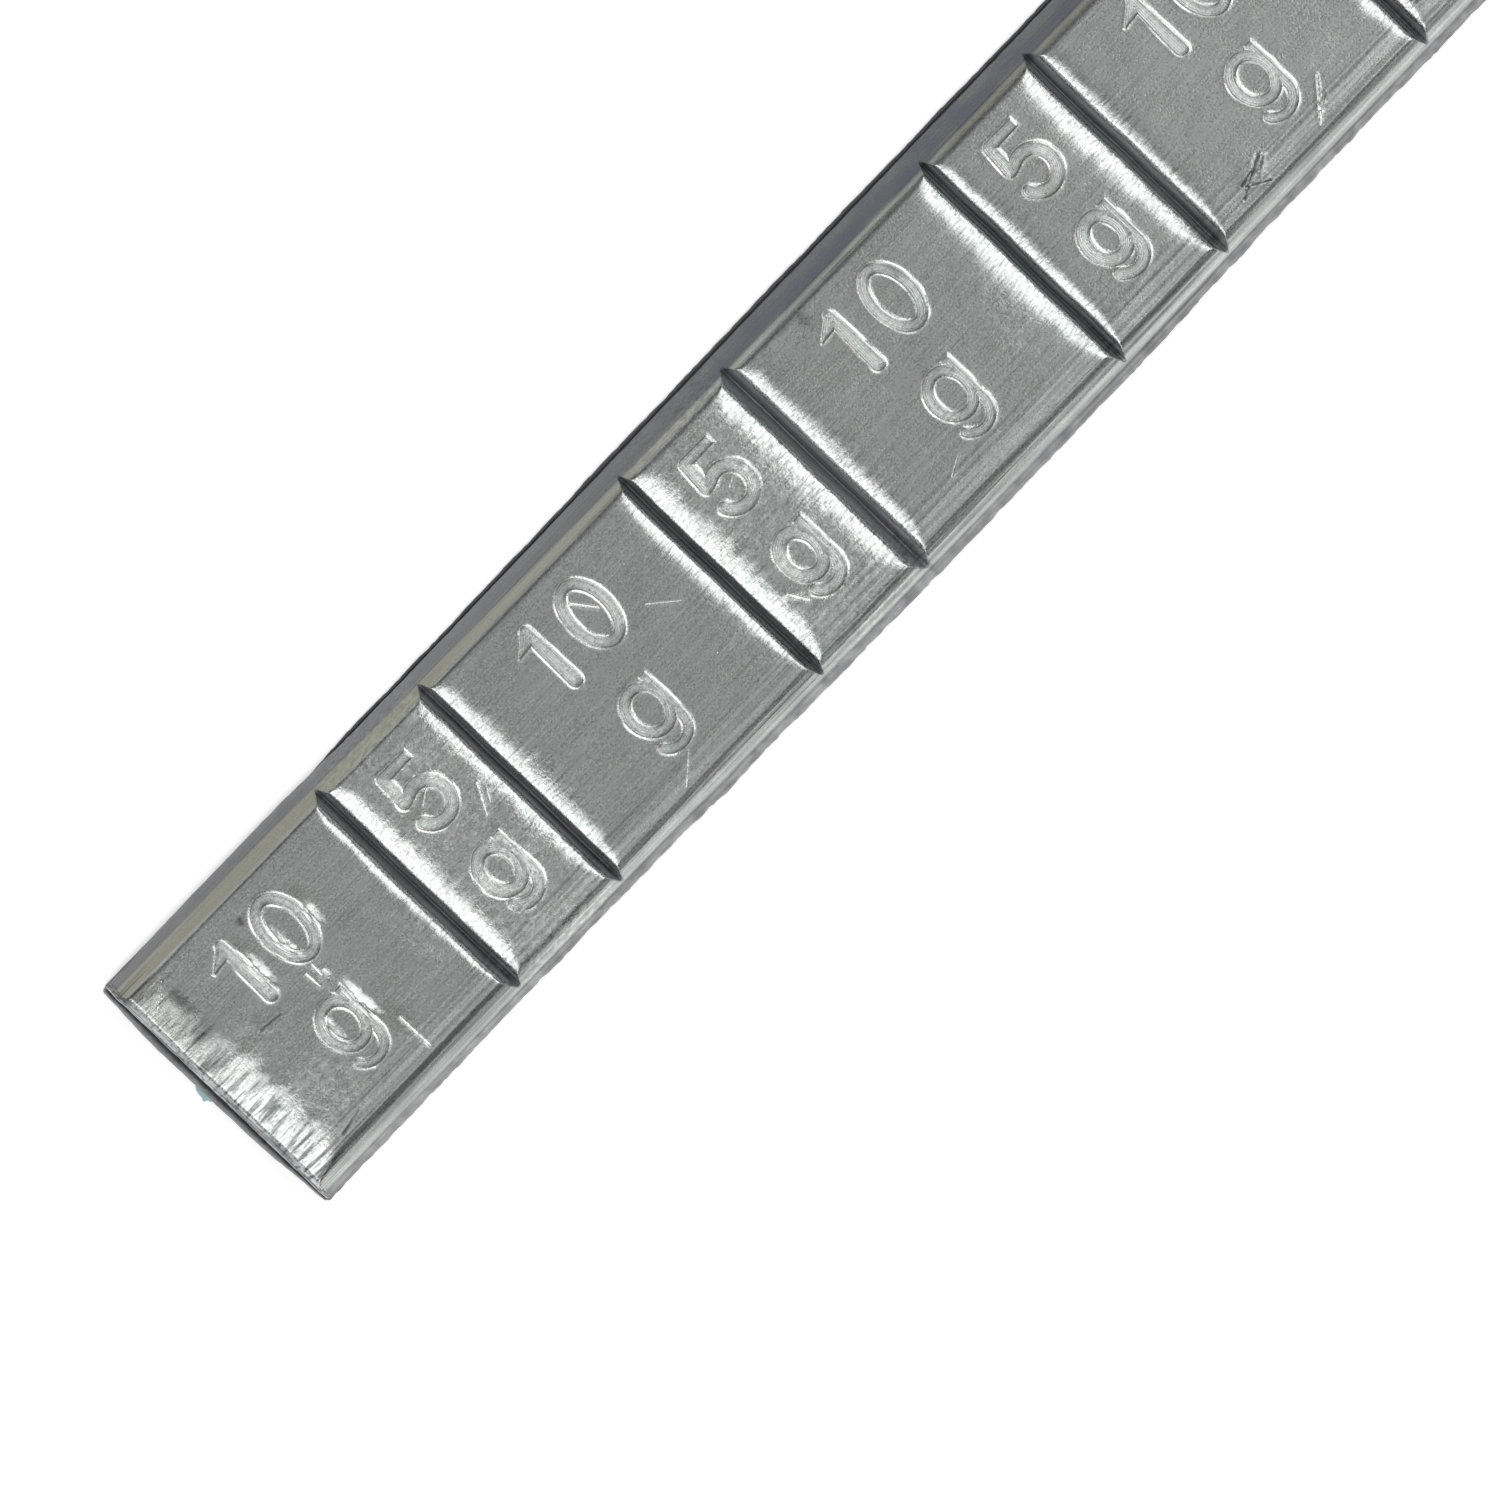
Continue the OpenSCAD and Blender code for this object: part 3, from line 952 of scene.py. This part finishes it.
# Each pattern's darkest and lightest value and shade, and the mask that it shows in
LEAD_SHADES = (
    ("light", 0, 1, 1, 1.08, None),
    ("grain", 0.3, 0.7, 0.88, 1.1, None),
    ("lines", 0.3, 0.7, 0.87, 1.09, None),
    ("clouds", 0.35, 0.65, 0.96, 1.04, None),
    # Painted shade along the ledges and down the +Y side
    ("painted_shade", 0, 1, 1, 0.6, None),
    ("drawn", 0.3, 0.7, 0.75, 1.2, "groove"),
    ("lines", 0.34, 0.52, 0.5, 1.08, "shoulder"),
    ("furrows", 0.35, 0.65, 0.72, 1.2, "near_edge"),
    ("furrows", 0.38, 0.48, 0.45, 1.05, "near_cut"),
    ("drawn", 0.42, 0.6, 0.55, 1.7, "at_cut"),
    # Painted shade and light on the stroke floors: darker beside their walls, lighter down their
    # middle
    ("within", 0.08, 0.24, 0.76, 1.2, "pressed"),
    ("die_lines", -1, 1, 0.9, 1.1, "pressed"),
    ("dents", 0.36, 0.66, 0.74, 1.26, "bruised"),
)
# Masks with the colour and the most of it that each brings, one over another
# The side colour is grey oxide and painted shade together; on the smears it is oxide
LEAD_COLOURS = (("dull", "lead_dull", 1), ("tinted", "lead_tint", 1), ("olive", "lead_olive", 1),
                ("side", "lead_oxide_and_shade", 1), ("pressed", "lead_pale", 0.15),
                ("smear", "lead_oxide_and_shade", 0.8), ("edge", "lead_fresh", 0.9),
                ("groove", "lead_groove", 0.5), ("bluish", "lead_blue", 1))
LEAD_ROUGHNESS = (("pressed", 0.3), ("groove", 0.5), ("shoulder", 0.26), ("edge", 0.22))
# Each pattern's height outside a mask and in it
LEAD_RELIEF = (("grain", "shoulder", 0.9, 0.35), ("lines", "shoulder", 0, 1.6),
               ("drawn", "groove", 0, 1), ("furrows", "near_edge", 0, 3),
               ("die_lines", "pressed", 0, 0.2), ("dents", "bruised", 0.3, 3))


def rolled_lead(finish):
    """Lead, rolled through grooved rolls and stamped: soft grey metal with a satin shine.
    Rolling leaves fine lines along the strip, the shoulders and the lips of the marks are
    stretched bright, and a thin oxide dulls the rest, most of all down the sides, where the
    oxide colour is also painted shade. Painted shade darkens the ledges, and the floors of the
    marks are painted darker at their walls and lighter in the middle."""
    material, tree = new_material("lead_rolled_and_stamped")
    place = node(tree, "TexCoord")["Object"]
    source = {name: node(tree, "Attribute", attribute_name=name)["Fac"] for name in LEAD_MASKS}
    source["x"], source["y"], _ = node(tree, "SeparateXYZ", {0: place})
    for name, (scale, detail, rough) in LEAD_PATTERNS.items():
        scaled = node(tree, "Mapping", {"Vector": place, "Scale": scale})[0]
        source[name] = node(tree, "TexNoise", {"Vector": scaled, "Scale": 1 / MM,
                                               "Detail": detail, "Roughness": rough})[0]
    for name, (of, start, end, least, most) in LEAD_RANGES.items():
        source[name] = node(tree, "MapRange", {0: source[of], 1: start, 2: end, 3: least,
                                               4: most})[0]
    turns = node(tree, "Math", {0: source["within"], 1: math.tau / DIE_LINES},
                 operation="MULTIPLY")[0]
    source["die_lines"] = node(tree, "Math", {0: turns}, operation="COSINE")[0]
    source["bluish"] = node(tree, "Math", {0: source["blue"], 1: source["patchy"]},
                            operation="MULTIPLY")[0]

    shade = 1.0
    for pattern, low, high, darkest, lightest, mask in LEAD_SHADES:
        factor = node(tree, "MapRange", {0: source[pattern], 1: low, 2: high, 3: darkest,
                                         4: lightest})[0]
        if mask:
            factor = node(tree, "Mix", {0: source[mask], 2: 1.0, 3: factor})[0]
        shade = node(tree, "Math", {0: shade, 1: factor}, operation="MULTIPLY")[0]
    skin = opaque(finish.lead_bright)
    for mask, rgb, share in LEAD_COLOURS:
        amount = node(tree, "Math", {0: source[mask], 1: share}, operation="MULTIPLY")[0]
        skin = node(tree, "Mix", {0: amount, MIX_A: skin, MIX_B: opaque(getattr(finish, rgb))},
                    data_type="RGBA")[MIX_OUT]
    skin = node(tree, "Mix", {0: 1.0, MIX_A: skin, MIX_B: shade}, data_type="RGBA",
                blend_type="MULTIPLY")[MIX_OUT]

    rough = node(tree, "MapRange", {0: source["clouds"], 1: 0.3, 2: 0.7, 3: 0.25, 4: 0.33})[0]
    for mask, goal in LEAD_ROUGHNESS:
        rough = node(tree, "Mix", {0: source[mask], 2: rough, 3: goal})[0]
    grainy = node(tree, "MapRange", {0: source["grain"], 1: 0.3, 2: 0.7, 3: -0.05, 4: 0.05})[0]
    rough = node(tree, "Math", {0: rough, 1: grainy}, operation="ADD")[0]

    relief = node(tree, "Math", {0: source["lines"], 1: 0.9}, operation="MULTIPLY")[0]
    for pattern, mask, least, most in LEAD_RELIEF:
        height = node(tree, "MapRange", {0: source[mask], 3: least, 4: most})[0]
        relief = node(tree, "Math", {0: source[pattern], 1: height, 2: relief},
                      operation="MULTIPLY_ADD")[0]
    bump = node(tree, "Bump", {"Height": relief, "Strength": 0.8, "Distance": 0.02 * MM})[0]
    # Down in the grooves the oxide film is thick enough to look matt
    bare = node(tree, "MapRange", {0: source["groove"], 3: 1.0, 4: 0.65})[0]
    shader = node(tree, "BsdfPrincipled", {"Base Color": skin, "Metallic": bare,
                                           "Roughness": rough, "Normal": bump})[0]
    node(tree, "OutputMaterial", {"Surface": shader})
    return material


def cut_foam(finish):
    """Closed-cell PE foam, slit: matt near-black, its open cells rubbed grey at the cut."""
    material, tree = new_material("foam_closed_cell_slit")
    place = node(tree, "TexCoord")["Object"]
    # Cells, 0.25 mm
    cells = node(tree, "TexVoronoi", {"Vector": place, "Scale": 4 / MM})["Distance"]
    clouds = node(tree, "TexNoise", {"Vector": place, "Scale": 0.8 / MM, "Detail": 3.0})[0]
    cloudy = node(tree, "MapRange", {0: clouds, 1: 0.35, 2: 0.6, 3: 0.6, 4: 1.0})[0]
    rubbed = node(tree, "Attribute", attribute_name="rubbed")["Fac"]
    rubbed = node(tree, "Math", {0: rubbed, 1: cloudy}, operation="MULTIPLY")[0]
    skin = node(tree, "Mix", {0: rubbed, MIX_A: opaque(finish.foam),
                              MIX_B: opaque(finish.foam_dust)}, data_type="RGBA")[MIX_OUT]
    bump = node(tree, "Bump", {"Height": cells, "Strength": 0.7, "Distance": 0.06 * MM})[0]
    shader = node(tree, "BsdfPrincipled", {"Base Color": skin, "Roughness": 0.85,
                                           "Normal": bump})[0]
    node(tree, "OutputMaterial", {"Surface": shader})
    return material


def blown_film(finish):
    """Siliconised PE film, blown: thin, pale blue-green, half clear and smooth."""
    material, tree = new_material("film_blown_pe")
    place = node(tree, "TexCoord")["Object"]
    # Wrinkles, some 1.5 mm across
    wrinkles = node(tree, "TexNoise", {"Vector": place, "Scale": 0.7 / MM, "Detail": 3.0})[0]
    tone = node(tree, "MapRange", {0: wrinkles, 1: 0.3, 2: 0.7, 3: 0.88, 4: 1.0})[0]
    skin = node(tree, "Mix", {0: 1.0, MIX_A: opaque(finish.film), MIX_B: tone},
                data_type="RGBA", blend_type="MULTIPLY")[MIX_OUT]
    bump = node(tree, "Bump", {"Height": wrinkles, "Strength": 0.3, "Distance": 0.2 * MM})[0]
    shader = node(tree, "BsdfPrincipled", {"Base Color": skin, "Roughness": 0.3,
                                           "Transmission Weight": 0.4, "IOR": 1.5,
                                           "Normal": bump})[0]
    node(tree, "OutputMaterial", {"Surface": shader})
    return material


def studio_floor(studio, finish):
    """Matt painted floor: pale, lifted to white where it is seen, and clear from below."""
    material, tree = new_material("studio_floor_paint")
    ray = node(tree, "LightPath")
    seen = ray["Is Camera Ray"]
    for kind in ("Is Glossy Ray", "Is Transmission Ray"):
        seen = node(tree, "Math", {0: seen, 1: ray[kind]}, operation="MAXIMUM")[0]
    lift = node(tree, "Math", {0: seen, 1: studio.lift}, operation="MULTIPLY")[0]
    paint = node(tree, "BsdfDiffuse", {"Color": opaque(finish.floor)})[0]
    glow = node(tree, "Emission", {"Strength": lift})[0]
    both = node(tree, "AddShader", {0: paint, 1: glow})[0]
    below = node(tree, "NewGeometry")["Backfacing"]
    clear = node(tree, "BsdfTransparent")[0]
    shader = node(tree, "MixShader", {0: below, 1: both, 2: clear})[0]
    node(tree, "OutputMaterial", {"Surface": shader})
    return material


# Studio, in metres

FLOOR_REACH = 6.0


def build_floor(studio, finish):
    reach = FLOOR_REACH / MM
    corners = [(-reach, -reach, 0), (reach, -reach, 0), (reach, reach, 0), (-reach, reach, 0)]
    new_piece("studio_floor", corners, [[0, 1, 2, 3]], studio_floor(studio, finish))


def build_lamp(name, azimuth, elevation, distance, size, radiance):
    """A soft box that faces the object. Azimuth 0 is along +X, in degrees."""
    lamp = bpy.data.lights.new(name, "AREA")
    lamp.shape = "RECTANGLE"
    lamp.size, lamp.size_y = size
    lamp.energy = radiance * math.pi * size[0] * size[1]
    turn, rise = math.radians(azimuth), math.radians(elevation)
    holder = bpy.data.objects.new(name, lamp)
    holder.location = distance * Vector((math.cos(turn) * math.cos(rise),
                                         math.sin(turn) * math.cos(rise), math.sin(rise)))
    holder.rotation_mode = "QUATERNION"
    holder.rotation_quaternion = holder.location.to_track_quat("Z", "Y")
    holder.visible_camera = False
    bpy.context.scene.collection.objects.link(holder)


def build_world(studio):
    """Plain grey surroundings: pale at the horizon, darker half way up, grey overhead and
    paler there toward -Y."""
    world = bpy.data.worlds.new("studio")
    world.use_nodes = True
    tree = world.node_tree
    tree.nodes.clear()
    way = node(tree, "TexCoord")["Generated"]
    _, beside, up = node(tree, "SeparateXYZ", {0: way})
    low = node(tree, "MapRange", {0: up, 1: 0.12, 2: 0.3, 3: studio.horizon,
                                  4: studio.middle})[0]
    high = node(tree, "MapRange", {0: up, 1: 0.5, 2: 0.95, 3: 0.0,
                                   4: studio.zenith - studio.middle},
                interpolation_type="SMOOTHSTEP")[0]
    near_side = node(tree, "MapRange", {0: beside, 1: -0.03, 2: -0.3, 3: 0.0, 4: studio.glow},
                     interpolation_type="SMOOTHSTEP")[0]
    overhead = node(tree, "MapRange", {0: up, 1: 0.75, 2: 0.92})[0]
    glow = node(tree, "Math", {0: near_side, 1: overhead}, operation="MULTIPLY")[0]
    sky = node(tree, "Math", {0: low, 1: high}, operation="ADD")[0]
    total = node(tree, "Math", {0: sky, 1: glow}, operation="ADD")[0]
    sky = node(tree, "Background", {"Strength": total})[0]
    node(tree, "OutputWorld", {"Surface": sky})
    bpy.context.scene.world = world


def build_camera(studio):
    """A long lens, almost straight above the strip, turned as the strip lies in the picture."""
    camera = bpy.data.cameras.new("camera")
    camera.sensor_width = 36.0
    camera.lens = studio.lens
    distance = studio.picture_width * studio.lens / camera.sensor_width
    back = Vector((0, math.sin(studio.tilt), math.cos(studio.tilt)))
    right = Vector((math.cos(studio.turn), -math.sin(studio.turn), 0))
    right = (right - back * right.dot(back)).normalized()
    up = back.cross(right)
    holder = bpy.data.objects.new("camera", camera)
    holder.location = Vector(studio.aim) + back * distance
    holder.rotation_mode = "QUATERNION"
    holder.rotation_quaternion = Matrix((right, up, back)).transposed().to_quaternion()
    camera.clip_start, camera.clip_end = 0.01, 50.0
    bpy.context.scene.collection.objects.link(holder)
    bpy.context.scene.camera = holder


# Operators

def settings():
    return bpy.context.scene.balance_weight


class BALANCEWEIGHT_OT_stage(bpy.types.Operator):
    """Set up the floor, the soft boxes, the surroundings and the camera"""
    bl_idname = "balance_weight.stage"
    bl_label = "Studio"

    def execute(self, context):
        studio = settings().studio
        build_floor(studio, settings().finish)
        build_world(studio)
        build_lamp("left_box", 188, 45, 1.2, (1.5, 1.0), studio.left_box)
        build_lamp("right_box", -8, 55, 1.2, (1.5, 0.7), studio.right_box)
        build_camera(studio)
        return {"FINISHED"}


class BALANCEWEIGHT_OT_lead(bpy.types.Operator):
    """Add the notched and stamped lead strip"""
    bl_idname = "balance_weight.lead"
    bl_label = "Lead strip"

    def execute(self, context):
        build_lead(settings().strip, settings().stamp, rolled_lead(settings().finish))
        return {"FINISHED"}


class BALANCEWEIGHT_OT_tape(bpy.types.Operator):
    """Add the foam tape under the lead"""
    bl_idname = "balance_weight.tape"
    bl_label = "Foam tape"

    def execute(self, context):
        build_tape(settings().tape, cut_foam(settings().finish))
        return {"FINISHED"}


class BALANCEWEIGHT_OT_liner(bpy.types.Operator):
    """Add the release liner under the tape, with its torn scrap"""
    bl_idname = "balance_weight.liner"
    bl_label = "Release liner"

    def execute(self, context):
        build_liner(settings().tape, blown_film(settings().finish))
        return {"FINISHED"}


class BALANCEWEIGHT_PT_panel(bpy.types.Panel):
    """Lists the pieces and their settings."""
    bl_idname = "BALANCEWEIGHT_PT_panel"
    bl_label = "Balance Weight"
    bl_space_type = "VIEW_3D"
    bl_region_type = "UI"
    bl_category = "Balance Weight"

    def draw(self, context):
        for operator in OPERATORS:
            self.layout.operator(operator.bl_idname)
        for group_name in ("strip", "stamp", "tape", "finish", "studio"):
            group = getattr(settings(), group_name)
            box = self.layout.box()
            box.label(text=group_name.title())
            for name in group.__annotations__:
                box.prop(group, name)


SETTING_GROUPS = (StripSizes, StampSizes, TapeSizes, Finishes, StudioSettings,
                  BalanceWeightSettings)
OPERATORS = (BALANCEWEIGHT_OT_stage, BALANCEWEIGHT_OT_lead, BALANCEWEIGHT_OT_tape,
             BALANCEWEIGHT_OT_liner)
CLASSES = SETTING_GROUPS + OPERATORS + (BALANCEWEIGHT_PT_panel,)


def register():
    for one in CLASSES:
        bpy.utils.register_class(one)
    bpy.types.Scene.balance_weight = PointerProperty(type=BalanceWeightSettings)


def unregister():
    del bpy.types.Scene.balance_weight
    for one in reversed(CLASSES):
        bpy.utils.unregister_class(one)


def main():
    register()
    bpy.context.scene.view_settings.view_transform = "Standard"
    bpy.ops.balance_weight.stage()
    bpy.ops.balance_weight.lead()
    bpy.ops.balance_weight.tape()
    bpy.ops.balance_weight.liner()
    bpy.context.view_layer.update()


if __name__ == "__main__":
    main()
